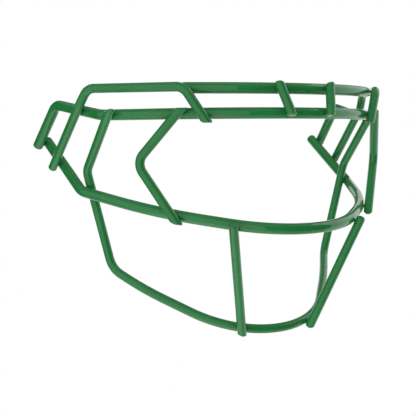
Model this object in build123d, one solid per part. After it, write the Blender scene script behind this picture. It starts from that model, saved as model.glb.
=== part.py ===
"""Football helmet facemask: a cage of bent steel wires, crossed and joined by small weld beads.

Right and left are the wearer's. X runs to the wearer's left, Y to the rear and Z up, in millimetres.
Routes are laid out from the middle of the lower brow bar, and the finished cage is then set with the
middle of its box at the origin.
"""
from build123d import *
import math
import os

# Wires, measured over their coat
carrier_wire = 7.1
light_wire = 6.0
weld_gap = 0.15
end_rounding = 1.3
end_bevel = 0.9

# How far each cut end stands past the bar that it crosses. Below zero it stops short of the bar's far edge
tie_top_past = -1.8
tie_foot_past = 0.4
strut_top_past = 0.4
strut_foot_past = -1.5
chevron_past = 0.4
jaw_top_past = 2.6
hoop_foot_past = 2.0

# Weld beads
carrier_bead = 6.0
light_bead = 5.0
bead_height = 6.0
bead_fit = 0.05

# Lower brow bar
brow_radius = 97.5
brow_side_out = 6.0
brow_side_depth = 78.0
brow_side_drop = 1.1
brow_side_bend = 25.0
rear_top_out = 13.0
rear_top_depth = 123.5
rear_top_rise = 6.0
rear_top_bend = 9.0
rear_leg_out = 4.0
rear_leg_depth = 150.0
rear_leg_drop = 22.5

# Upper brow bar
upper_setback = 5.5
upper_rise = 15.2
upper_behind_hoop_bend = 5.0
upper_weld_from_end = 3.0

# Mouth bar, whose front lies in a plane that tips down to the front
mouth_drop = 71.5
mouth_lead = 3.5
mouth_tilt = 11.6
mouth_front_x = 27.5
mouth_cheek_x = 81.5
mouth_cheek_depth = 43.5
mouth_side_out = 6.0
mouth_side_depth = 97.5
mouth_side_bend = 14.0
mouth_past_leg = 3.6

# Jaw bar
jaw_lean = 15.0
jaw_above_mouth = 12.0
jaw_below_mouth = 56.5
jaw_top_bend = 10.0
jaw_corner_bend = 14.0
jaw_side_bow = 2.5
jaw_bow_share = 0.7
jaw_bow_fall = 35.0
chin_drop = 141.0
chin_depth = 31.5
chin_front_x = 32.5

# Side hoops
hoop_rear_in = 3.7
hoop_rear_ahead = 10.5
hoop_front_out = 12.9
hoop_front_back = 1.3
hoop_rise = 15.7
hoop_bend = 9.0
hoop_straight_above_brow = 3.8
hoop_crook = 9.0
hoop_past_mouth = 4.4

# Eye chevrons
chevron_depth = 25.0
chevron_lift = 1.5
chevron_bend = 9.0

# Places along the carrying bars: from their middle, or from the neighbour that is named first
tie_on_upper = 18.0
tie_on_lower = 14.5
hoop_on_brow = 66.0
hoop_to_chevron_on_brow = 14.5
hoop_rear_on_brow = 154.5
hoop_rear_to_jaw_on_brow = 25.0
strut_on_mouth = 47.5
strut_to_chevron_on_mouth = 38.0
hoop_on_mouth = 191.0
hoop_to_jaw_on_mouth = 34.0
strut_on_jaw = 25.5

# Place of the mouth bar's end on the lower brow bar's leg, from the leg's end
mouth_on_leg = 3.6

OUT_OF_CAGE = 1
INTO_CAGE = -1
cage_heart_depth = brow_radius * 0.8
settling_rounds = 5
spare_end = 3 * light_wire
bead_seat = 4 * bead_height

brow_side_x = brow_radius + brow_side_out
rear_top_x = brow_side_x + rear_top_out
rear_leg_x = rear_top_x + rear_leg_out
mouth_side_x = brow_side_x + mouth_side_out
chevron_on_brow = hoop_on_brow + hoop_to_chevron_on_brow
jaw_on_brow = hoop_rear_on_brow - hoop_rear_to_jaw_on_brow
chevron_on_mouth = strut_on_mouth + strut_to_chevron_on_mouth
jaw_on_mouth = hoop_on_mouth - hoop_to_jaw_on_mouth


class Bar:
    """A wire bar: the route of its axis, its diameter and the planes that its ends are cut to."""

    def __init__(self, route, wire, cuts=()):
        self.route = route
        self.wire = wire
        self.cuts = cuts

    def place(self, from_middle):
        """Distance along the route of a place on the left half."""
        return self.route.length / 2 - from_middle

    def spot(self, place):
        """Point of the axis at a distance along the route."""
        return self.route.position_at(place, position_mode=PositionMode.LENGTH)

    def heading(self, place):
        """Direction of the axis at a distance along the route."""
        return self.route.tangent_at(place, position_mode=PositionMode.LENGTH)

    def beside(self, place, along, wire, side=OUT_OF_CAGE):
        """Axis point of another wire that runs along a direction and just clears this bar."""
        spot = self.spot(place)
        across = self.heading(place).cross(along).normalized()
        outward = Vector(spot.X, spot.Y - cage_heart_depth, 0)
        if across.dot(outward) * side < 0:
            across = -across
        return spot + across * stand_off(self.wire, wire)

    def reached_from(self, place, start, wire, side=OUT_OF_CAGE):
        """Axis point of another wire that comes from a start and just clears this bar."""
        point = self.spot(place)
        for _ in range(settling_rounds):
            point = self.beside(place, point - start, wire, side)
        return point

    def cut_level(self, place, crossing, leaving, past):
        """Plane that cuts a crossing wire off some way past this bar's far edge."""
        along = self.heading(place)
        level = (leaving - along * leaving.dot(along)).normalized()
        reach = (self.wire / 2 + past) / level.dot(leaving)
        return Plane(origin=crossing + leaving * reach, z_dir=level)

    def sweep(self):
        """The uncut wire."""
        start = Plane(origin=self.route @ 0, z_dir=self.route % 0)
        return sweep(start * Circle(self.wire / 2), path=self.route)

    def length_at(self, spot, length, extra):
        """A short length of the wire beside a spot, thicker all round by the extra."""
        middle = self.route.param_at_point(self.route.closest_points(spot)[0])
        reach = length / 2 / self.route.length
        piece = self.route.trim(max(middle - reach, 0), min(middle + reach, 1))
        return sweep(Plane(origin=piece @ 0, z_dir=piece % 0) * Circle(self.wire / 2 + extra), path=piece)

    def solid(self):
        """The wire with its ends cut. The rim of a square end is rounded and that of an oblique one bevelled."""
        wire = self.sweep()
        waste = Cylinder(spare_end, spare_end, align=(Align.CENTER, Align.CENTER, Align.MIN))
        for cut in self.cuts:
            wire = wire - cut * waste
        for place in (0, self.route.length):
            end = self.spot(place)
            near_cuts = [cut for cut in self.cuts if (end - cut.origin).length < spare_end]
            if near_cuts:
                rim = wire.faces().sort_by_distance(near_cuts[0].origin)[0].edges()
                wire = chamfer(rim, end_bevel)
            else:
                wire = fillet(wire.faces().sort_by_distance(end)[0].edges(), end_rounding)
        return wire


def stand_off(wire, other):
    """Distance between the axes of two wires that are welded side by side."""
    return (wire + other) / 2 + weld_gap


def mirrored(point):
    """The same point on the wearer's right."""
    return Vector(-point.X, point.Y, point.Z)


def both_sides(points):
    """Add the right half to a route that runs from the left to the middle."""
    return points + [mirrored(point) for point in reversed(points)]


def beyond(start, end, distance):
    """Point past the end of a run."""
    return end + (end - start).normalized() * distance


def corner_past(start, end, target, straight, radius):
    """Corner past a run's end that leaves a straight before its bend toward a target."""
    corner = beyond(start, end, straight)
    for _ in range(settling_rounds):
        turn = math.radians((end - start).get_angle(target - corner))
        corner = beyond(start, end, straight + radius * math.tan(turn / 2))
    return corner


def easy_radii(points, share=0.49):
    """Radius of each corner, as large as its two runs allow."""
    radii = []
    for before, corner, after in zip(points, points[1:], points[2:]):
        turn = math.radians((corner - before).get_angle(after - corner))
        run = min((corner - before).length, (after - corner).length)
        radii.append(share * run / math.tan(turn / 2))
    return radii


def across_two(first, first_place, second, second_place):
    """Axis points of a straight light wire that crosses the outer sides of two bars."""
    on_first = first.spot(first_place)
    on_second = second.spot(second_place)
    for _ in range(settling_rounds):
        on_first = first.beside(first_place, on_second - on_first, light_wire)
        on_second = second.beside(second_place, on_second - on_first, light_wire)
    return on_first, on_second


def make_lower_brow():
    """One arc across the brow, straight sides, and rear legs that turn down."""
    leg_end = Vector(rear_leg_x, rear_leg_depth, -rear_leg_drop)
    rear_top = Vector(rear_top_x, rear_top_depth, rear_top_rise)
    side = Vector(brow_side_x, brow_side_depth, -brow_side_drop)
    tangent = math.sqrt(side.X**2 + side.Y**2 - 2 * side.Y * brow_radius)
    slope = math.atan2(side.Y, side.X - side.Y * brow_radius / (side.X + tangent))
    apex_lead = brow_radius / math.cos(slope) - brow_radius
    apex = Vector(0, -apex_lead, brow_side_drop * apex_lead / side.Y)
    left = [leg_end, rear_top, side]
    points = left + [apex] + [mirrored(point) for point in reversed(left)]
    radii = [rear_top_bend, brow_side_bend, brow_radius, brow_side_bend, rear_top_bend]
    return Bar(FilletPolyline(*points, radius=radii), carrier_wire)


def mouth_point(x, depth):
    """Point of the mouth bar's tipped plane."""
    rise = math.tan(math.radians(mouth_tilt)) * (depth + mouth_lead)
    return Vector(x, depth, rise - mouth_drop)


def make_mouth(brow):
    """A wide bow before the mouth, whose sides rise to the inner side of the brow bar's legs."""
    side = mouth_point(mouth_side_x, mouth_side_depth)
    cheek = mouth_point(mouth_cheek_x, mouth_cheek_depth)
    front = mouth_point(mouth_front_x, -mouth_lead)
    meeting = brow.reached_from(mouth_on_leg, side, carrier_wire, INTO_CAGE)
    points = both_sides([beyond(side, meeting, mouth_past_leg), side, cheek, front])
    radii = easy_radii(points)
    radii[0] = radii[-1] = mouth_side_bend
    weld = (brow, brow.spot(mouth_on_leg), meeting)
    return Bar(FilletPolyline(*points, radius=radii), carrier_wire), weld


def make_hoop(brow, mouth):
    """The side clip hoop: up from the mouth bar, forward over the temple and down at the front."""
    low_place = mouth.place(hoop_on_mouth)
    rear_place = brow.place(hoop_rear_on_brow)
    front_place = brow.place(hoop_on_brow)
    low, crossing = across_two(mouth, low_place, brow, rear_place)
    rear = Vector(crossing.X - hoop_rear_in, crossing.Y - hoop_rear_ahead, hoop_rise)
    crook = corner_past(low, crossing, rear, hoop_straight_above_brow, hoop_crook)
    on_brow = brow.spot(front_place)
    front = Vector(on_brow.X + hoop_front_out, on_brow.Y + hoop_front_back, hoop_rise)
    foot = brow.reached_from(front_place, front, light_wire)
    cut = brow.cut_level(front_place, foot, (foot - front).normalized(), hoop_foot_past)
    points = [beyond(crook, low, hoop_past_mouth), crook, rear, front, beyond(front, foot, spare_end)]
    route = FilletPolyline(*points, radius=[hoop_crook, hoop_bend, hoop_bend])
    welds = {
        "hoop_to_mouth_bar": (mouth, mouth.spot(low_place), low),
        "hoop_rear_to_lower_brow": (brow, brow.spot(rear_place), crossing),
        "hoop_front_to_lower_brow": (brow, on_brow, foot),
    }
    return Bar(route, light_wire, [cut]), welds, front, rear


def make_upper_brow(hoop_front, hoop_rear):
    """A bow over the brow bar, whose ends lie against the inner side of the hoops' top runs."""
    along = (hoop_rear - hoop_front).normalized()
    inward = Vector(0, 0, 1).cross(along) * stand_off(carrier_wire, light_wire)
    seat = hoop_front + along * upper_behind_hoop_bend
    end = seat + inward + Vector(0, 0, upper_rise - hoop_rise)
    middle = Vector(0, upper_setback, upper_rise)
    bar = Bar(ThreePointArc(end, middle, mirrored(end)), carrier_wire)
    weld_spot = bar.spot(upper_weld_from_end)
    on_hoop = hoop_front + along * (weld_spot - hoop_front).dot(along)
    return bar, (bar, weld_spot, on_hoop)


def make_jaw(brow, mouth):
    """Down inside the mouth bar at both sides, forward and round the chin."""
    brow_place = brow.place(jaw_on_brow)
    mouth_place = mouth.place(jaw_on_mouth)
    lean = math.radians(jaw_lean)
    down = Vector(-math.sin(lean), 0, -math.cos(lean))
    crossing = mouth.beside(mouth_place, down, light_wire, INTO_CAGE)
    top_bend = crossing - down * jaw_above_mouth
    corner = crossing + down * jaw_below_mouth
    head = brow.reached_from(brow_place, top_bend, light_wire)
    cut = brow.cut_level(brow_place, head, (head - top_bend).normalized(), jaw_top_past)
    chin = Vector(chin_front_x, chin_depth, -chin_drop)
    fall = math.radians(jaw_bow_fall)
    bow = Vector(math.cos(fall), 0, -math.sin(fall)) * jaw_side_bow
    side = chin + (corner - chin) * jaw_bow_share + bow
    points = both_sides([beyond(top_bend, head, spare_end), top_bend, corner, side, chin])
    radii = easy_radii(points)
    radii[0] = radii[-1] = jaw_top_bend
    radii[1] = radii[-2] = jaw_corner_bend
    other_cut = Plane(origin=mirrored(cut.origin), z_dir=mirrored(cut.z_dir))
    welds = {
        "jaw_bar_to_lower_brow": (brow, brow.spot(brow_place), head),
        "jaw_bar_to_mouth_bar": (mouth, mouth.spot(mouth_place), crossing),
    }
    return Bar(FilletPolyline(*points, radius=radii), light_wire, [cut, other_cut]), welds


def make_chevron(brow, mouth):
    """A bent wire beside the eye that points to the rear."""
    top_place = brow.place(chevron_on_brow)
    low_place = mouth.place(chevron_on_mouth)
    rearward = -brow.heading(top_place)
    outward = Vector(rearward.Y, -rearward.X, 0) * stand_off(carrier_wire, light_wire)
    middle = (brow.spot(top_place) + mouth.spot(low_place)) / 2
    bend = middle + rearward * chevron_depth + outward + Vector(0, 0, chevron_lift)
    top = brow.reached_from(top_place, bend, light_wire)
    low = mouth.reached_from(low_place, bend, light_wire)
    cuts = [
        brow.cut_level(top_place, top, (top - bend).normalized(), chevron_past),
        mouth.cut_level(low_place, low, (low - bend).normalized(), chevron_past),
    ]
    points = [beyond(bend, top, spare_end), bend, beyond(bend, low, spare_end)]
    welds = {
        "chevron_to_lower_brow": (brow, brow.spot(top_place), top),
        "chevron_to_mouth_bar": (mouth, mouth.spot(low_place), low),
    }
    return Bar(FilletPolyline(*points, radius=[chevron_bend]), light_wire, cuts), welds


def make_straight(upper, upper_place, lower, lower_place, top_past, foot_past):
    """A straight wire that crosses the outer side of two bars."""
    top, foot = across_two(upper, upper_place, lower, lower_place)
    up = (top - foot).normalized()
    cuts = [
        upper.cut_level(upper_place, top, up, top_past),
        lower.cut_level(lower_place, foot, -up, foot_past),
    ]
    route = Line(beyond(foot, top, spare_end), beyond(top, foot, spare_end))
    welds = [(upper, upper.spot(upper_place), top), (lower, lower.spot(lower_place), foot)]
    return Bar(route, light_wire, cuts), welds


def make_bead(weld, other):
    """A plug of weld between two wires, hollowed on both sides by the wires themselves."""
    bar, on_bar, on_other = weld
    diameter = carrier_bead if bar.wire == other.wire == carrier_wire else light_bead
    across = Plane(origin=(on_bar + on_other) / 2, z_dir=on_other - on_bar)
    plug = across * Cylinder(diameter / 2, bead_height)
    hollows = [bar.length_at(on_bar, bead_seat, bead_fit)]
    hollows.append(other.length_at(on_other, bead_seat, bead_fit))
    return plug - hollows


lower_brow = make_lower_brow()
mouth, leg_weld = make_mouth(lower_brow)
hoop, hoop_welds, hoop_front, hoop_rear = make_hoop(lower_brow, mouth)
upper_brow, upper_weld = make_upper_brow(hoop_front, hoop_rear)
jaw, jaw_welds = make_jaw(lower_brow, mouth)
chevron, chevron_welds = make_chevron(lower_brow, mouth)
tie_on = (upper_brow, upper_brow.place(tie_on_upper), lower_brow, lower_brow.place(tie_on_lower))
tie, tie_welds = make_straight(*tie_on, tie_top_past, tie_foot_past)
strut_on = (mouth, mouth.place(strut_on_mouth), jaw, jaw.place(strut_on_jaw))
strut, strut_welds = make_straight(*strut_on, strut_top_past, strut_foot_past)

whole_bars = {
    "upper_brow_bar": upper_brow,
    "lower_brow_bar": lower_brow,
    "mouth_bar": mouth,
    "jaw_bar": jaw,
}
paired_bars = {"side_hoop": hoop, "eye_chevron": chevron, "brow_tie": tie, "jaw_strut": strut}
welds_by_bar = [
    (mouth, {"brow_leg_to_mouth_bar": leg_weld}),
    (hoop, {**hoop_welds, "hoop_to_upper_brow": upper_weld}),
    (jaw, jaw_welds),
    (chevron, chevron_welds),
    (tie, {"tie_to_upper_brow": tie_welds[0], "tie_to_lower_brow": tie_welds[1]}),
    (strut, {"strut_to_mouth_bar": strut_welds[0], "strut_to_jaw_bar": strut_welds[1]}),
]

nodes = {name: bar.solid() for name, bar in whole_bars.items()}
for name, bar in paired_bars.items():
    left = bar.solid()
    nodes[f"{name}_left"] = left
    nodes[f"{name}_right"] = mirror(left, about=Plane.YZ)
centre = Compound(list(nodes.values())).bounding_box().center()
for bar, welds in welds_by_bar:
    for name, weld in welds.items():
        left = make_bead(weld, bar)
        nodes[f"weld_{name}"] = Compound(children=[left, mirror(left, about=Plane.YZ)])

os.makedirs("parts", exist_ok=True)
for name, shape in nodes.items():
    shape.label = name
    export_step(shape.moved(Location(-centre)), f"parts/{name}.step")
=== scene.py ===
"""Dresses a welded wire facemask: glossy green coat, flowed weld fillets, a white studio and its camera."""

import logging
import math
from dataclasses import dataclass, field
from enum import Enum

import bmesh
import bpy
import numpy as np
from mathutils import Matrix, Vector
from mathutils.bvhtree import BVHTree

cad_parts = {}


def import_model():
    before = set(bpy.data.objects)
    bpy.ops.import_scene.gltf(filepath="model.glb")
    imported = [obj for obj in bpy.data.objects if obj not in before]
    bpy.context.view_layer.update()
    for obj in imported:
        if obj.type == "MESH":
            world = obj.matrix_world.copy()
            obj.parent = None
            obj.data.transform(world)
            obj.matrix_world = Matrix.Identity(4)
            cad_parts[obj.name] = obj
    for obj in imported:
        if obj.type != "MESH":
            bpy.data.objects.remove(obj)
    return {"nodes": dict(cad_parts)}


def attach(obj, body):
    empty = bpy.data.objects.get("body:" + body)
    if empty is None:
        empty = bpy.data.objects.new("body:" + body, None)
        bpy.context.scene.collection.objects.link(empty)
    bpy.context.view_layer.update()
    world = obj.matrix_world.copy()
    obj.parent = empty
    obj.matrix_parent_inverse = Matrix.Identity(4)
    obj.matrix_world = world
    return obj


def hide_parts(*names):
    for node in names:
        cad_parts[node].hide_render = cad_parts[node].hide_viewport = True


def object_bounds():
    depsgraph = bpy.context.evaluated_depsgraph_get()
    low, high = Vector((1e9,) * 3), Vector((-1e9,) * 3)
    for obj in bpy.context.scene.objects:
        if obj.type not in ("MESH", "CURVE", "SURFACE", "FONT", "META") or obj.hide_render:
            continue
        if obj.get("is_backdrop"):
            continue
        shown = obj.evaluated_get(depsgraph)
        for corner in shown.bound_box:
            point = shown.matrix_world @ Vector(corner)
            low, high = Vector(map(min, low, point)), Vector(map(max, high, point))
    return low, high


LOG = logging.getLogger("facemask")
MM = 0.001
BODY = "root"

Colour = tuple[float, float, float, float]
Span = tuple[float, float]
Socket = bpy.types.NodeSocket
ShaderTree = bpy.types.ShaderNodeTree
Feed = float | Colour | Socket

WHITE: Colour = (1.0, 1.0, 1.0, 1.0)


class Gauge(Enum):
    """Radius across the coat of the two wires that the cage is welded from, in metres."""

    CARRIER = 3.55 * MM
    LIGHT = 3.0 * MM


class Side(Enum):
    """The wearer's right and left side, by the sign of X there."""

    RIGHT = -1.0
    LEFT = 1.0


class Wire(Enum):
    """Each wire of the cage: its node's stem and its gauge. A stem ending in _ is a right and left pair."""

    UPPER_BROW = ("upper_brow_bar", Gauge.CARRIER)
    LOWER_BROW = ("lower_brow_bar", Gauge.CARRIER)
    MOUTH = ("mouth_bar", Gauge.CARRIER)
    JAW = ("jaw_bar", Gauge.LIGHT)
    HOOP = ("side_hoop_", Gauge.LIGHT)
    CHEVRON = ("eye_chevron_", Gauge.LIGHT)
    TIE = ("brow_tie_", Gauge.LIGHT)
    STRUT = ("jaw_strut_", Gauge.LIGHT)

    @property
    def gauge(self) -> Gauge:
        """The wire's gauge."""
        return self.value[1]

    @property
    def radius(self) -> float:
        """The wire's radius across its coat, in metres."""
        return self.gauge.value

    def nodes(self) -> list[str]:
        """The names of the wire's CAD nodes: one, or the right one and the left one."""
        stem = self.value[0]
        return [stem + side.name.lower() for side in Side] if stem.endswith("_") else [stem]

    def node_on(self, side: Side) -> str:
        """The name of the wire's CAD node on a side."""
        names = self.nodes()
        return names[0] if side is Side.RIGHT else names[-1]


class Weld(Enum):
    """Each pair of welds: the node of its two beads, and the two wires that they join."""

    BROW_LEG_TO_MOUTH = ("weld_brow_leg_to_mouth_bar", Wire.LOWER_BROW, Wire.MOUTH)
    HOOP_TO_MOUTH = ("weld_hoop_to_mouth_bar", Wire.HOOP, Wire.MOUTH)
    HOOP_REAR_TO_BROW = ("weld_hoop_rear_to_lower_brow", Wire.HOOP, Wire.LOWER_BROW)
    HOOP_FRONT_TO_BROW = ("weld_hoop_front_to_lower_brow", Wire.HOOP, Wire.LOWER_BROW)
    HOOP_TO_UPPER_BROW = ("weld_hoop_to_upper_brow", Wire.HOOP, Wire.UPPER_BROW)
    JAW_TO_BROW = ("weld_jaw_bar_to_lower_brow", Wire.JAW, Wire.LOWER_BROW)
    JAW_TO_MOUTH = ("weld_jaw_bar_to_mouth_bar", Wire.JAW, Wire.MOUTH)
    CHEVRON_TO_BROW = ("weld_chevron_to_lower_brow", Wire.CHEVRON, Wire.LOWER_BROW)
    CHEVRON_TO_MOUTH = ("weld_chevron_to_mouth_bar", Wire.CHEVRON, Wire.MOUTH)
    TIE_TO_UPPER_BROW = ("weld_tie_to_upper_brow", Wire.TIE, Wire.UPPER_BROW)
    TIE_TO_LOWER_BROW = ("weld_tie_to_lower_brow", Wire.TIE, Wire.LOWER_BROW)
    STRUT_TO_MOUTH = ("weld_strut_to_mouth_bar", Wire.STRUT, Wire.MOUTH)
    STRUT_TO_JAW = ("weld_strut_to_jaw_bar", Wire.STRUT, Wire.JAW)


# Shader nodes


class Mixed(Enum):
    """What a mix node mixes: its data type, the numbers of its two inputs and the number of its output."""

    STRENGTH = ("FLOAT", 2, 3, 0)
    COLOUR = ("RGBA", 6, 7, 2)


def feed(tree: bpy.types.NodeTree, value: Feed, entry: Socket) -> None:
    """Links a socket to a node's input, or sets the input to a plain value.

    Args:
        tree: The node tree that holds the node.
        value: A socket, a number or a colour.
        entry: The node's input.
    """
    if isinstance(value, Socket):
        tree.links.new(value, entry)
    else:
        entry.default_value = value


def add_noise(tree: bpy.types.NodeTree, scale: float | Socket, detail: float) -> bpy.types.Node:
    """Adds a noise texture on the object's own coordinates.

    Args:
        tree: The node tree to add to.
        scale: Lumps per metre, as a number or as a socket.
        detail: The number of finer layers.

    Returns:
        The noise node.
    """
    place = tree.nodes.new("ShaderNodeTexCoord")
    noise = tree.nodes.new("ShaderNodeTexNoise")
    noise.inputs["Detail"].default_value = detail
    tree.links.new(place.outputs["Object"], noise.inputs["Vector"])
    feed(tree, scale, noise.inputs["Scale"])
    return noise


def add_math(tree: bpy.types.NodeTree, operation: str, first: Feed, second: Feed) -> Socket:
    """Adds a math node.

    Args:
        tree: The node tree to add to.
        operation: The node's operation.
        first: A socket or a number.
        second: A socket or a number.

    Returns:
        The node's output.
    """
    node = tree.nodes.new("ShaderNodeMath")
    node.operation = operation
    feed(tree, first, node.inputs[0])
    feed(tree, second, node.inputs[1])
    return node.outputs[0]


def add_ramp(tree: bpy.types.NodeTree, source: Socket, span: Span) -> Socket:
    """Stretches a value smoothly over a span.

    Args:
        tree: The node tree to add to.
        source: The value to stretch.
        span: The value that becomes 0 and the value that becomes 1.

    Returns:
        The stretched value.
    """
    node = tree.nodes.new("ShaderNodeMapRange")
    node.interpolation_type = "SMOOTHSTEP"
    node.inputs["From Min"].default_value, node.inputs["From Max"].default_value = span
    tree.links.new(source, node.inputs["Value"])
    return node.outputs["Result"]


def add_mix(tree: bpy.types.NodeTree, kind: Mixed, mask: Socket, first: Feed, second: Feed) -> Socket:
    """Mixes two strengths or two colours by a mask.

    Args:
        tree: The node tree to add to.
        kind: What is mixed.
        mask: 0 gives the first value and 1 the second.
        first: A socket or a plain value.
        second: A socket or a plain value.

    Returns:
        The mixed value.
    """
    data_type, first_entry, second_entry, output = kind.value
    node = tree.nodes.new("ShaderNodeMix")
    node.data_type = data_type
    tree.links.new(mask, node.inputs[0])
    feed(tree, first, node.inputs[first_entry])
    feed(tree, second, node.inputs[second_entry])
    return node.outputs[output]


def new_group(
    name: str, floats: dict[str, float], output: str
) -> tuple[ShaderTree, bpy.types.Node, bpy.types.Node]:
    """Starts a shader node group with named sockets.

    Args:
        name: The group's name.
        floats: Float inputs and their defaults.
        output: The name of its output, a float.

    Returns:
        The group, its input node and its output node.
    """
    group = bpy.data.node_groups.new(name, "ShaderNodeTree")
    for label, value in floats.items():
        socket = group.interface.new_socket(label, in_out="INPUT", socket_type="NodeSocketFloat")
        socket.default_value = value
    group.interface.new_socket(output, in_out="OUTPUT", socket_type="NodeSocketFloat")
    return group, group.nodes.new("NodeGroupInput"), group.nodes.new("NodeGroupOutput")


# The coat


@dataclass
class CoatEffects:
    """The shader node groups that every coat shares, built once.

    Attributes:
        drift_span: Noise at which the coat is deepest and at which it is palest.
        upward_span: Upward part of the normal at which dust starts to settle and at which it lies in full.
        patch_span: Noise at which the dust is broken away and at which it is whole.
        peel: Gives the height of the orange peel.
        drift: Gives a mask that is 0 where the coat is deep and 1 where it is pale.
        dust: Gives a mask that is 1 where dust covers the coat.
    """

    drift_span: Span = (0.42, 0.84)
    upward_span: Span = (0.35, 0.98)
    patch_span: Span = (0.4, 0.7)
    peel: ShaderTree = field(init=False)
    drift: ShaderTree = field(init=False)
    dust: ShaderTree = field(init=False)

    def __post_init__(self) -> None:
        """Builds the groups."""
        self.peel = self.build_peel()
        self.drift = self.build_drift()
        self.dust = self.build_dust()

    def build_peel(self) -> ShaderTree:
        """Builds orange peel: the soft swells that a thick baked coat keeps, with fine grains in it.

        Returns:
            The group.
        """
        group, start, end = new_group(
            "coat_orange_peel",
            {"Swells per metre": 260.0, "Grains per metre": 1500.0, "Grain share": 0.2},
            "Height",
        )
        swells = add_noise(group, start.outputs["Swells per metre"], detail=1.0)
        grains = add_noise(group, start.outputs["Grains per metre"], detail=2.0)
        fine = add_math(group, "MULTIPLY", grains.outputs["Fac"], start.outputs["Grain share"])
        height = add_math(group, "ADD", swells.outputs["Fac"], fine)
        group.links.new(height, end.inputs["Height"])
        return group

    def build_drift(self) -> ShaderTree:
        """Builds pigment drift: where the coat ran thicker and deeper, or thinner and paler.

        Returns:
            The group.
        """
        group, start, end = new_group(
            "coat_pigment_drift",
            {"Drifts per metre": 38.0, "Specks per metre": 420.0, "Speck share": 0.25},
            "Mask",
        )
        wide = add_noise(group, start.outputs["Drifts per metre"], detail=2.0)
        specks = add_noise(group, start.outputs["Specks per metre"], detail=3.0)
        fine = add_math(group, "MULTIPLY", specks.outputs["Fac"], start.outputs["Speck share"])
        mixed = add_math(group, "ADD", wide.outputs["Fac"], fine)
        mask = add_ramp(group, mixed, self.drift_span)
        group.links.new(mask, end.inputs["Mask"])
        return group

    def build_dust(self) -> ShaderTree:
        """Builds settled dust: a broken film on what faces up.

        Returns:
            The group.
        """
        group, start, end = new_group(
            "coat_settled_dust",
            {"Patches per metre": 90.0, "Amount": 0.5},
            "Mask",
        )
        surface = group.nodes.new("ShaderNodeNewGeometry")
        split = group.nodes.new("ShaderNodeSeparateXYZ")
        group.links.new(surface.outputs["Normal"], split.inputs["Vector"])
        upward = add_ramp(group, split.outputs["Z"], self.upward_span)
        patches = add_noise(group, start.outputs["Patches per metre"], detail=4.0)
        broken = add_ramp(group, patches.outputs["Fac"], self.patch_span)
        film = add_math(group, "MULTIPLY", upward, broken)
        mask = add_math(group, "MULTIPLY", film, start.outputs["Amount"])
        group.links.new(mask, end.inputs["Mask"])
        return group


@dataclass(frozen=True)
class CoatFinish:
    """A thick glossy coat baked over steel, deeper where it runs thick, with a clear gloss on top.

    Attributes:
        name: The material's name.
        deep: Colour where the coat is thick.
        pale: Colour where the coat is thin.
        dust: Colour of settled dust.
        gloss_roughness: Roughness of the pigment where it is deep.
        worn_roughness: Roughness of the pigment where it is pale.
        pigment_gloss: Specular level of the pigment under the clear gloss.
        clear_weight: Weight of the clear gloss.
        clear_roughness: Roughness of the clear gloss.
        clear_index: Refractive index of the clear gloss.
        peel_height: Height of the orange peel, in metres.
        swells_per_metre: How closely the peel's swells lie.
        dust_amount: Share of dust where it lies in full.
    """

    name: str
    deep: Colour = (0.0142, 0.17, 0.0395, 1.0)
    pale: Colour = (0.0178, 0.201, 0.0495, 1.0)
    dust: Colour = (0.16, 0.24, 0.17, 1.0)
    gloss_roughness: float = 0.3
    worn_roughness: float = 0.42
    pigment_gloss: float = 0.06
    clear_weight: float = 1.0
    clear_roughness: float = 0.012
    clear_index: float = 1.48
    peel_height: float = 0.003 * MM
    swells_per_metre: float = 180.0
    dust_amount: float = 0.12

    def build(self, effects: CoatEffects) -> bpy.types.Material:
        """Makes the coat's material.

        Args:
            effects: The shared shader node groups.

        Returns:
            The material.
        """
        material = bpy.data.materials.new(self.name)
        material.use_nodes = True
        tree = material.node_tree
        shader = tree.nodes["Principled BSDF"]
        drift = self.place(tree, effects.drift, {})
        dust = self.place(tree, effects.dust, {"Amount": self.dust_amount})
        peel = self.place(tree, effects.peel, {"Swells per metre": self.swells_per_metre})
        pigment = add_mix(tree, Mixed.COLOUR, drift.outputs["Mask"], self.deep, self.pale)
        colour = add_mix(tree, Mixed.COLOUR, dust.outputs["Mask"], pigment, self.dust)
        tree.links.new(colour, shader.inputs["Base Color"])
        roughness = tree.nodes.new("ShaderNodeMapRange")
        roughness.inputs["To Min"].default_value = self.gloss_roughness
        roughness.inputs["To Max"].default_value = self.worn_roughness
        tree.links.new(drift.outputs["Mask"], roughness.inputs["Value"])
        tree.links.new(roughness.outputs["Result"], shader.inputs["Roughness"])
        bump = tree.nodes.new("ShaderNodeBump")
        bump.inputs["Distance"].default_value = self.peel_height
        tree.links.new(peel.outputs["Height"], bump.inputs["Height"])
        tree.links.new(bump.outputs["Normal"], shader.inputs["Normal"])
        shader.inputs["Specular IOR Level"].default_value = self.pigment_gloss
        shader.inputs["Coat Weight"].default_value = self.clear_weight
        shader.inputs["Coat Roughness"].default_value = self.clear_roughness
        shader.inputs["Coat IOR"].default_value = self.clear_index
        return material

    def place(self, tree: bpy.types.NodeTree, group: ShaderTree, values: dict[str, float]) -> bpy.types.Node:
        """Places one of the shared groups in the material's tree.

        Args:
            tree: The material's node tree.
            group: The group.
            values: The group's inputs that this coat sets, by name.

        Returns:
            The group's node.
        """
        node = tree.nodes.new("ShaderNodeGroup")
        node.node_tree = group
        for label, value in values.items():
            node.inputs[label].default_value = value
        return node


@dataclass(frozen=True)
class ShadedWeldCoatFinish(CoatFinish):
    """The same coat on the weld fillets, a little darker: painted shade where the wires cross, and coat that
    pools thicker there.
    """

    # Darker than the wire coat: painted shade at the crossings, with the coat pooled thicker there.
    deep: Colour = (0.0125, 0.156, 0.035, 1.0)
    pale: Colour = (0.0158, 0.184, 0.046, 1.0)


# The cage


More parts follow.
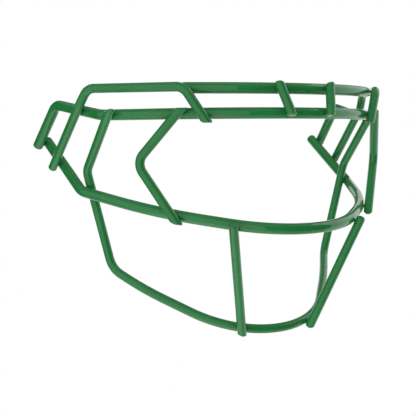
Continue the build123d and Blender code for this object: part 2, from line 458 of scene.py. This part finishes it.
@dataclass
class WireCage:
    """The bent wires: CAD shapes kept as they are, under the coat.

    Attributes:
        nodes: The CAD objects by name.
        coats: The coat on wires of each gauge.
    """

    nodes: dict[str, bpy.types.Object]
    coats: dict[Gauge, bpy.types.Material]

    def dress(self) -> list[str]:
        """Gives each wire its coat and smooth shading.

        Returns:
            The names of the wires.
        """
        dressed = []
        for wire in Wire:
            for name in wire.nodes():
                mesh = self.nodes[name].data
                mesh.materials.clear()
                mesh.materials.append(self.coats[wire.gauge])
                mesh.shade_smooth()
                dressed.append(name)
        return dressed


@dataclass(frozen=True)
class WireRun:
    """A wire's straight run beside a weld.

    Attributes:
        point: A point on the wire's axis.
        heading: Unit direction of the axis.
        radius: The wire's radius, in metres.
        surface: The wire's surface.
        search_range: How far from a spot the surface is looked for, in metres.
        widest_share: Share of the radius from the axis, past which the round surface is taken as no steeper.
    """

    point: Vector
    heading: Vector
    radius: float
    surface: BVHTree
    search_range: float = 1.0
    widest_share: float = 0.97

    def bears(self, spot: Vector, slack: float) -> bool:
        """Whether a spot lies on the wire's surface, within slack metres."""
        _, _, _, distance = self.surface.find_nearest(spot, self.search_range)
        return distance < slack

    def beside(self, spot: Vector) -> Vector:
        """The point on the wire's axis that lies beside a spot."""
        return self.point + self.heading * (spot - self.point).dot(self.heading)

    def drop(self, spoke: Vector, reach: float) -> tuple[float, float]:
        """How far the wire's surface has curved away at a distance from the contact.

        Args:
            spoke: Unit direction away from the contact, in the plane that touches the wire.
            reach: Distance from the contact, in metres.

        Returns:
            The drop in metres, and the slope there.
        """
        across = spoke - self.heading * spoke.dot(self.heading)
        width = min(across.length * reach, self.widest_share * self.radius)
        height = math.sqrt(self.radius**2 - width**2)
        return self.radius - height, across.length * width / height


@dataclass
class Contact:
    """The place where two wires pass closest to each other.

    Attributes:
        one: The first wire's run.
        other: The second wire's run.
        on_one: The place's point on the first wire's axis.
        on_other: The place's point on the second wire's axis.
        rise: Unit direction from the first wire to the second.
        low: The first wire's surface point there.
        high: The second wire's surface point there.
    """

    one: WireRun
    other: WireRun
    on_one: Vector
    on_other: Vector
    rise: Vector = field(init=False)
    low: Vector = field(init=False)
    high: Vector = field(init=False)

    def __post_init__(self) -> None:
        """Works out the rise and the two surface points."""
        self.rise = (self.on_other - self.on_one).normalized()
        self.low = self.on_one + self.rise * self.one.radius
        self.high = self.on_other - self.rise * self.other.radius

    def spokes(self, turns: list[float]) -> list[Vector]:
        """Unit directions away from the contact, in the plane between the wires.

        Args:
            turns: How far each direction turns from the first wire's heading, in radians.

        Returns:
            The directions.
        """
        ahead = (self.one.heading - self.rise * self.one.heading.dot(self.rise)).normalized()
        aside = self.rise.cross(ahead)
        return [ahead * math.cos(turn) + aside * math.sin(turn) for turn in turns]

    def parting(self, spoke: Vector) -> float:
        """How strongly the two surfaces curve apart along a spoke, per metre."""
        return sum((1.0 - spoke.dot(run.heading) ** 2) / run.radius for run in (self.one, self.other))

    def feet(self, spoke: Vector, reach: float) -> tuple[Vector, Vector]:
        """The points on both wires at a reach from the contact.

        Args:
            spoke: Unit direction away from the contact.
            reach: Distance from the contact, in metres.

        Returns:
            The first wire's point and the second's.
        """
        drop_one, _ = self.one.drop(spoke, reach)
        drop_other, _ = self.other.drop(spoke, reach)
        low_foot = self.low + spoke * reach - self.rise * drop_one
        high_foot = self.high + spoke * reach + self.rise * drop_other
        return low_foot, high_foot

    def tangents(self, spoke: Vector, reach: float) -> tuple[Vector, Vector]:
        """The unit directions in which a fillet leaves the first wire and runs onto the second.

        Args:
            spoke: Unit direction away from the contact.
            reach: Distance of its feet from the contact, in metres.

        Returns:
            The direction at the first wire and the direction at the second.
        """
        _, slope_one = self.one.drop(spoke, reach)
        _, slope_other = self.other.drop(spoke, reach)
        leave = (self.rise * slope_one - spoke).normalized()
        arrive = (self.rise * slope_other + spoke).normalized()
        return leave, arrive


@dataclass
class WeldFillets:
    """The flowed fillets that join crossing wires, in place of the plain beads.

    Attributes:
        nodes: The CAD objects by name.
        coat: The fillets' material, darkened with painted shade at the crossings.
        feel: How far round a bead the wire's skin is read, in metres.
        facing_decimals: Decimals by which two facings of the skin count as the same.
        least_turn: Sine of the least turn between two facings that tell the wire's heading.
        barrel_slant: How far a facing may slant along the wire and still be of its round barrel, as a sine.
        broad_face: Area above which a face of the skin has no more say, in square metres.
        running_along: Squared sine of the angle below which two wires run along each other.
        fillet_radius: Half of the gap between the wires at the fillet's feet, in metres.
        flattest_parting: The least curving apart of the wires that is reckoned with, per metre.
        longest_reach: The farthest that the feet may stand from the contact, in metres.
        shortest_reach: The nearest that the feet may stand, in metres.
        reach_step: How much a reach is shortened at a time, in metres.
        foot_slack: How far off the skin a foot may be and still bear on it, in metres.
        smoothing_rounds: How often the reaches are evened out round the contact.
        ripple: How much of its reach a fillet loses at most where it ripples.
        ripple_waves: The waves that a ripple has round the contact.
        flank_pull: How firmly the flank keeps its direction at the feet, as a share of its height.
        foot_sink: How deep the hems sink into the wires, in metres.
        skirt: How far the hems run on past the feet, in metres.
        core_sink: How deep the middles of the two closed ends lie in the wires, in metres.
        cut_count: The number of cuts round the contact.
        flank_steps: The number of steps along the flank.
        seed: Seed of the ripples.
        surfaces: The wires' surfaces read so far, by name.
    """

    nodes: dict[str, bpy.types.Object]
    coat: bpy.types.Material
    feel: float = 3.0 * MM
    facing_decimals: int = 2
    least_turn: float = 0.2
    barrel_slant: float = 0.08
    broad_face: float = 1e-6
    running_along: float = 0.2
    fillet_radius: float = 0.55 * MM
    flattest_parting: float = 1.0
    longest_reach: float = 4.6 * MM
    shortest_reach: float = 1.2 * MM
    reach_step: float = 0.1 * MM
    foot_slack: float = 0.03 * MM
    smoothing_rounds: int = 3
    ripple: float = 0.05
    ripple_waves: range = range(2, 7)
    flank_pull: float = 1.25
    foot_sink: float = 0.06 * MM
    skirt: float = 0.25 * MM
    core_sink: float = 0.35 * MM
    cut_count: int = 56
    flank_steps: int = 10
    seed: int = 7
    surfaces: dict[str, BVHTree] = field(default_factory=dict)

    def build(self) -> list[bpy.types.Object]:
        """Builds the fillet objects: a mesh of two fillets for each weld node."""
        chance = np.random.default_rng(self.seed)
        return [self.build_pair(weld, chance) for weld in Weld]

    def build_pair(self, weld: Weld, chance: np.random.Generator) -> bpy.types.Object:
        """Builds the left and right fillet of one weld, as one mesh.

        Args:
            weld: The weld.
            chance: The seeded source of the ripples.

        Returns:
            The new object, in place of the weld's node.
        """
        node_name, first, second = weld.value
        beads = np.array([v.co for v in self.nodes[node_name].data.vertices])
        shape = bmesh.new()
        for side in Side:
            bead = beads[beads[:, 0] * side.value > 0]
            near = Vector(bead.mean(axis=0))
            one, other = self.run_of(first, side, near), self.run_of(second, side, near)
            self.add_fillet(shape, self.contact_of(one, other, near), chance)
        bmesh.ops.recalc_face_normals(shape, faces=shape.faces)
        mesh = bpy.data.meshes.new(node_name.replace("weld", "fillet", 1))
        shape.to_mesh(mesh)
        shape.free()
        mesh.materials.append(self.coat)
        mesh.shade_smooth()
        fillets = bpy.data.objects.new(mesh.name, mesh)
        bpy.context.scene.collection.objects.link(fillets)
        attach(fillets, BODY)
        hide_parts(node_name)
        return fillets

    def surface_of(self, name: str) -> BVHTree:
        """The surface of a wire, read once.

        Args:
            name: The wire's node.

        Returns:
            Its surface.
        """
        if name not in self.surfaces:
            graph = bpy.context.evaluated_depsgraph_get()
            self.surfaces[name] = BVHTree.FromObject(self.nodes[name], graph)
        return self.surfaces[name]

    def run_of(self, wire: Wire, side: Side, near: Vector) -> WireRun:
        """Reads a wire's run beside a weld off the wire's own surface.

        Args:
            wire: The wire.
            side: The side of the weld.
            near: The bead's middle.

        Returns:
            The run.
        """
        name = wire.node_on(side)
        surface = self.surface_of(name)
        nearest, _, _, _ = surface.find_nearest(near)
        patches = surface.find_nearest_range(nearest, self.feel)
        faces = self.nodes[name].data.polygons
        normals = np.array([normal for _, normal, _, _ in patches])
        areas = np.array([faces[index].area for _, _, index, _ in patches])
        heading, barrel = self.heading_of(normals, areas)
        axis_spots = np.array([spot - normal * wire.radius for spot, normal, _, _ in patches])[barrel]
        return WireRun(Vector(axis_spots.mean(axis=0)), heading, wire.radius, surface)

    def heading_of(self, normals: np.ndarray, areas: np.ndarray) -> tuple[Vector, np.ndarray]:
        """Tells a wire's heading from its skin, by a vote of the faces, so that cut ends do not sway it.

        Args:
            normals: The facing of each patch of skin.
            areas: The area of each patch, in square metres.

        Returns:
            The unit heading, and which patches are of the wire's barrel.
        """
        facings, first = np.unique(normals.round(self.facing_decimals), axis=0, return_index=True)
        weights = np.minimum(areas[first], self.broad_face)
        crosses = np.cross(facings[:, None], facings[None]).reshape(-1, 3)
        lengths = np.linalg.norm(crosses, axis=1)
        telling = lengths > self.least_turn
        guesses = crosses[telling] / lengths[telling, None]
        votes = (np.abs(guesses @ facings.T) < self.barrel_slant) @ weights
        barrel = np.abs(guesses[votes.argmax()] @ normals.T) < self.barrel_slant
        _, directions = np.linalg.eigh(normals[barrel].T @ normals[barrel])
        return Vector(directions[:, 0]).normalized(), barrel

    def contact_of(self, one: WireRun, other: WireRun, near: Vector) -> Contact:
        """Finds where a fillet stands: where the wires cross, or beside the bead if they run side by side.

        Args:
            one: The first wire's run.
            other: The second wire's run.
            near: The bead's middle.

        Returns:
            The contact.
        """
        between = other.point - one.point
        lean = one.heading.dot(other.heading)
        span = 1.0 - lean * lean
        if span < self.running_along:
            return Contact(one, other, one.beside(near), other.beside(near))
        along_one = (between.dot(one.heading) - between.dot(other.heading) * lean) / span
        along_other = (between.dot(one.heading) * lean - between.dot(other.heading)) / span
        on_one = one.point + one.heading * along_one
        on_other = other.point + other.heading * along_other
        return Contact(one, other, on_one, on_other)

    def add_fillet(self, shape: bmesh.types.BMesh, contact: Contact, chance: np.random.Generator) -> None:
        """Adds one closed fillet between two wires.

        Args:
            shape: The mesh to add to.
            contact: Where it stands.
            chance: The seeded source of the ripples.
        """
        turns = [2 * math.pi * k / self.cut_count for k in range(self.cut_count)]
        spokes = contact.spokes(turns)
        reaches = np.array([self.reach_along(spoke, contact) for spoke in spokes])
        for _ in range(self.smoothing_rounds):
            neighbours = (np.roll(reaches, 1) + np.roll(reaches, -1)) / 2
            reaches = (reaches + np.minimum(reaches, neighbours)) / 2
        waves = sum(
            chance.uniform(-1, 1) * np.cos(n * np.array(turns) + chance.uniform(0, 2 * math.pi)) / n
            for n in self.ripple_waves
        )
        reaches = reaches * (1.0 + self.ripple * np.clip(waves, -1.0, 0.0))
        cuts = [self.cut_along(spoke, reach, contact) for spoke, reach in zip(spokes, reaches)]
        low_core = contact.low - contact.rise * self.core_sink
        high_core = contact.high + contact.rise * self.core_sink
        self.skin(shape, cuts, low_core, high_core)

    def reach_along(self, spoke: Vector, contact: Contact) -> float:
        """How far out along a spoke the fillet's feet still stand on both wires.

        Args:
            spoke: Unit direction away from the contact.
            contact: Where the fillet stands.

        Returns:
            The reach in metres.
        """
        gap_here = (contact.high - contact.low).length
        gap_at_feet = 2 * self.fillet_radius
        parting = max(contact.parting(spoke), self.flattest_parting)
        reach = min(math.sqrt(2 * (gap_at_feet - gap_here) / parting), self.longest_reach)
        while reach > self.shortest_reach:
            low_foot, high_foot = contact.feet(spoke, reach)
            on_one = contact.one.bears(low_foot, self.foot_slack)
            if on_one and contact.other.bears(high_foot, self.foot_slack):
                break
            reach -= self.reach_step
        return reach

    def cut_along(self, spoke: Vector, reach: float, contact: Contact) -> list[Vector]:
        """The fillet's cut along one spoke, from inside the first wire to inside the second.

        Args:
            spoke: Unit direction away from the contact.
            reach: Distance of the feet from the contact.
            contact: Where the fillet stands.

        Returns:
            The points of the cut.
        """
        start, end = contact.feet(spoke, reach)
        leave, arrive = contact.tangents(spoke, reach)
        sink = contact.rise * self.foot_sink
        ways = [k / self.flank_steps for k in range(self.flank_steps + 1)]
        flank = [self.flank_point(start, end, leave, arrive, t) for t in ways]
        return [start - leave * self.skirt - sink, *flank, end + arrive * self.skirt + sink]

    def flank_point(self, start: Vector, end: Vector, leave: Vector, arrive: Vector, t: float) -> Vector:
        """A point on the hollow flank, a cubic curve between the feet.

        Args:
            start: The foot on the first wire.
            end: The foot on the second wire.
            leave: Unit direction of the curve at its start.
            arrive: Unit direction of the curve at its end.
            t: Share of the way, from 0 at the start to 1 at the end.

        Returns:
            The point.
        """
        pull = self.flank_pull * (end - start).length
        return (
            start * (2 * t**3 - 3 * t**2 + 1)
            + leave * (pull * (t**3 - 2 * t**2 + t))
            + end * (3 * t**2 - 2 * t**3)
            + arrive * (pull * (t**3 - t**2))
        )

    def skin(
        self, shape: bmesh.types.BMesh, cuts: list[list[Vector]], low_core: Vector, high_core: Vector
    ) -> None:
        """Closes the cuts into one solid skin.

        Args:
            shape: The mesh to add to.
            cuts: The cut along each spoke, in order round the contact.
            low_core: A point inside the first wire.
            high_core: A point inside the second wire.
        """
        grid = [[shape.verts.new(point) for point in cut] for cut in cuts]
        low_vert, high_vert = shape.verts.new(low_core), shape.verts.new(high_core)
        for here, there in zip(grid, grid[1:] + grid[:1]):
            for k in range(len(here) - 1):
                shape.faces.new((here[k], there[k], there[k + 1], here[k + 1]))
            shape.faces.new((low_vert, there[0], here[0]))
            shape.faces.new((high_vert, here[-1], there[-1]))


# The studio


def outward(azimuth: float, elevation: float) -> Vector:
    """Unit direction at degrees from the front, at -Y, toward +X, and at degrees above the horizon."""
    turn, tilt = math.radians(azimuth), math.radians(elevation)
    return Vector((math.sin(turn) * math.cos(tilt), -math.cos(turn) * math.cos(tilt), math.sin(tilt)))


def stand(fixture: bpy.types.Object, place: Vector, back: Vector) -> None:
    """Puts a lamp or the camera in the scene.

    Args:
        fixture: The lamp or the camera.
        place: Where it stands, in metres.
        back: Unit direction that its back faces.
    """
    fixture.location = place
    fixture.rotation_mode = "QUATERNION"
    fixture.rotation_quaternion = (-back).to_track_quat("-Z", "Y")
    bpy.context.scene.collection.objects.link(fixture)


@dataclass(frozen=True)
class SoftBox:
    """A rectangular soft box, aimed at the cage's middle.

    Attributes:
        turn: Degrees round the cage from the camera's side, above zero to the camera's right.
        rise: Degrees above the horizon, as seen from the cage.
        distance: Distance from the cage's middle, in metres.
        width: Width in metres.
        height: Height in metres.
        brightness: How bright the box looks, where 1 is white.
    """

    turn: float
    rise: float
    distance: float
    width: float
    height: float
    brightness: float

    def build(self, name: str, camera_azimuth: float) -> None:
        """Makes the lamp, which the camera does not see.

        Args:
            name: The lamp's name.
            camera_azimuth: The camera's azimuth, in degrees.
        """
        data = bpy.data.lights.new(name, "AREA")
        data.shape = "RECTANGLE"
        data.size, data.size_y = self.width, self.height
        data.energy = self.brightness * math.pi * self.width * self.height
        lamp = bpy.data.objects.new(name, data)
        lamp.visible_camera = False
        back = outward(camera_azimuth + self.turn, self.rise)
        stand(lamp, back * self.distance, back)


class Panel(Enum):
    """The studio's soft boxes."""

    FRONT = SoftBox(turn=-31.0, rise=0.0, distance=1.3, width=2.9, height=2.6, brightness=0.8)
    FAR_RIGHT = SoftBox(turn=118.0, rise=5.0, distance=1.3, width=1.45, height=2.8, brightness=1.15)
    TOP = SoftBox(turn=-30.0, rise=86.0, distance=1.2, width=2.8, height=2.8, brightness=0.32)
    BACK = SoftBox(turn=-172.0, rise=-12.0, distance=1.3, width=1.9, height=2.0, brightness=1.0)
    UNDER = SoftBox(turn=-40.0, rise=-62.0, distance=0.6, width=0.6, height=0.6, brightness=0.7)


@dataclass
class Studio:
    """A pale floor that the camera sees as white, a white surround and soft boxes.

    Attributes:
        lowest: Height of the cage's lowest point, in metres.
        camera_azimuth: The camera's azimuth, in degrees.
        floor_below: How far the floor lies below the cage, in metres.
        floor_side: Length of the floor's side, in metres.
        floor_colour: Colour of the floor's paint.
        floor_roughness: Roughness of the floor's paint.
        floor_gloss: Specular level of the floor's paint.
        floor_glow: Light that the floor adds in the camera's view alone, where 1 is white.
        surround_on_object: Strength of the surround as a light on the cage.
        surround_in_gloss: Strength of the surround in the cage's gloss.
        surround_in_view: Strength of the surround behind the cage.
    """

    lowest: float
    camera_azimuth: float
    floor_below: float = 0.6
    floor_side: float = 1.6
    floor_colour: Colour = (0.7, 0.7, 0.7, 1.0)
    floor_roughness: float = 0.9
    floor_gloss: float = 0.0
    floor_glow: float = 0.9
    surround_on_object: float = 0.42
    surround_in_gloss: float = 0.0
    surround_in_view: float = 1.0

    def build(self) -> None:
        """Builds the floor, the surround and the lamps."""
        self.build_floor()
        self.build_surround()
        for panel in Panel:
            panel.value.build(panel.name.lower() + "_box", self.camera_azimuth)

    def build_floor(self) -> None:
        """Lays the floor: plain and pale, lit by the lamps, and white in the camera's view."""
        mesh = bpy.data.meshes.new("studio_floor")
        half, level = self.floor_side / 2, self.lowest - self.floor_below
        corners = [(-half, -half, level), (half, -half, level), (half, half, level), (-half, half, level)]
        mesh.from_pydata(corners, [], [(0, 1, 2, 3)])
        floor = bpy.data.objects.new("studio_floor", mesh)
        bpy.context.scene.collection.objects.link(floor)
        material = bpy.data.materials.new("studio_floor_paint")
        material.use_nodes = True
        tree = material.node_tree
        shader = tree.nodes["Principled BSDF"]
        shader.inputs["Base Color"].default_value = self.floor_colour
        shader.inputs["Roughness"].default_value = self.floor_roughness
        shader.inputs["Specular IOR Level"].default_value = self.floor_gloss
        path = tree.nodes.new("ShaderNodeLightPath")
        glow = add_math(tree, "MULTIPLY", path.outputs["Is Camera Ray"], self.floor_glow)
        shader.inputs["Emission Color"].default_value = WHITE
        tree.links.new(glow, shader.inputs["Emission Strength"])
        mesh.materials.append(material)
        floor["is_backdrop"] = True

    def build_surround(self) -> None:
        """Sets the world: white behind the cage, softer as a light on it, and dark in its gloss."""
        world = bpy.data.worlds.new("studio_surround")
        bpy.context.scene.world = world
        world.use_nodes = True
        tree = world.node_tree
        back = tree.nodes["Background"]
        back.inputs["Color"].default_value = WHITE
        path = tree.nodes.new("ShaderNodeLightPath")
        glossy = path.outputs["Is Glossy Ray"]
        lit = add_mix(tree, Mixed.STRENGTH, glossy, self.surround_on_object, self.surround_in_gloss)
        seen = add_math(tree, "MAXIMUM", path.outputs["Is Camera Ray"], path.outputs["Is Transmission Ray"])
        strength = add_mix(tree, Mixed.STRENGTH, seen, lit, self.surround_in_view)
        tree.links.new(strength, back.inputs["Strength"])


@dataclass(frozen=True)
class StudioCamera:
    """The camera at the photograph's angle, with a square frame.

    Attributes:
        place: Where it stands, in metres.
        azimuth: Degrees from the front, at -Y, toward the wearer's left, at +X.
        elevation: Degrees above the horizon.
        focal_pixels: Focal length in pixels of the frame.
        frame_pixels: The frame's side in pixels.
        sensor: Width of the sensor, in millimetres.
        clip_near: The nearest that it sees, in metres.
        clip_far: The farthest that it sees, in metres.
    """

    place: tuple[float, float, float] = (-0.34784, -0.55812, 0.05564)
    azimuth: float = -29.75
    elevation: float = 5.049
    focal_pixels: float = 955.0
    frame_pixels: float = 416.0
    sensor: float = 36.0
    clip_near: float = 0.01
    clip_far: float = 100.0

    def build(self) -> None:
        """Makes the camera and sets it as the scene's."""
        data = bpy.data.cameras.new("photo_camera")
        data.sensor_width = self.sensor
        data.lens = self.sensor * self.focal_pixels / self.frame_pixels
        data.clip_start, data.clip_end = self.clip_near, self.clip_far
        camera = bpy.data.objects.new("photo_camera", data)
        stand(camera, Vector(self.place), outward(self.azimuth, self.elevation))
        bpy.context.scene.camera = camera


def main() -> None:
    """Loads the cage, dresses it, and sets the studio and the camera."""
    logging.basicConfig(level=logging.INFO, format="%(name)s: %(message)s")
    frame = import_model()
    cad_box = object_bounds()
    nodes = frame["nodes"]
    effects = CoatEffects()
    wire_coats = {
        Gauge.CARRIER: CoatFinish("green_coat_on_carrier_wire").build(effects),
        Gauge.LIGHT: CoatFinish("green_coat_on_light_wire").build(effects),
    }
    # The welds' coat is darker, as painted shade where the wires cross.
    weld_shade_coat = ShadedWeldCoatFinish("green_coat_on_welds").build(effects)
    for name in WireCage(nodes, wire_coats).dress():
        LOG.info("coated %s", name)
    for fillets in WeldFillets(nodes, weld_shade_coat).build():
        LOG.info("built %s", fillets.name)
    camera = StudioCamera()
    camera.build()
    Studio(lowest=cad_box[0].z, camera_azimuth=camera.azimuth).build()
    bpy.context.scene.view_settings.view_transform = "Standard"


if __name__ == "__main__":
    main()
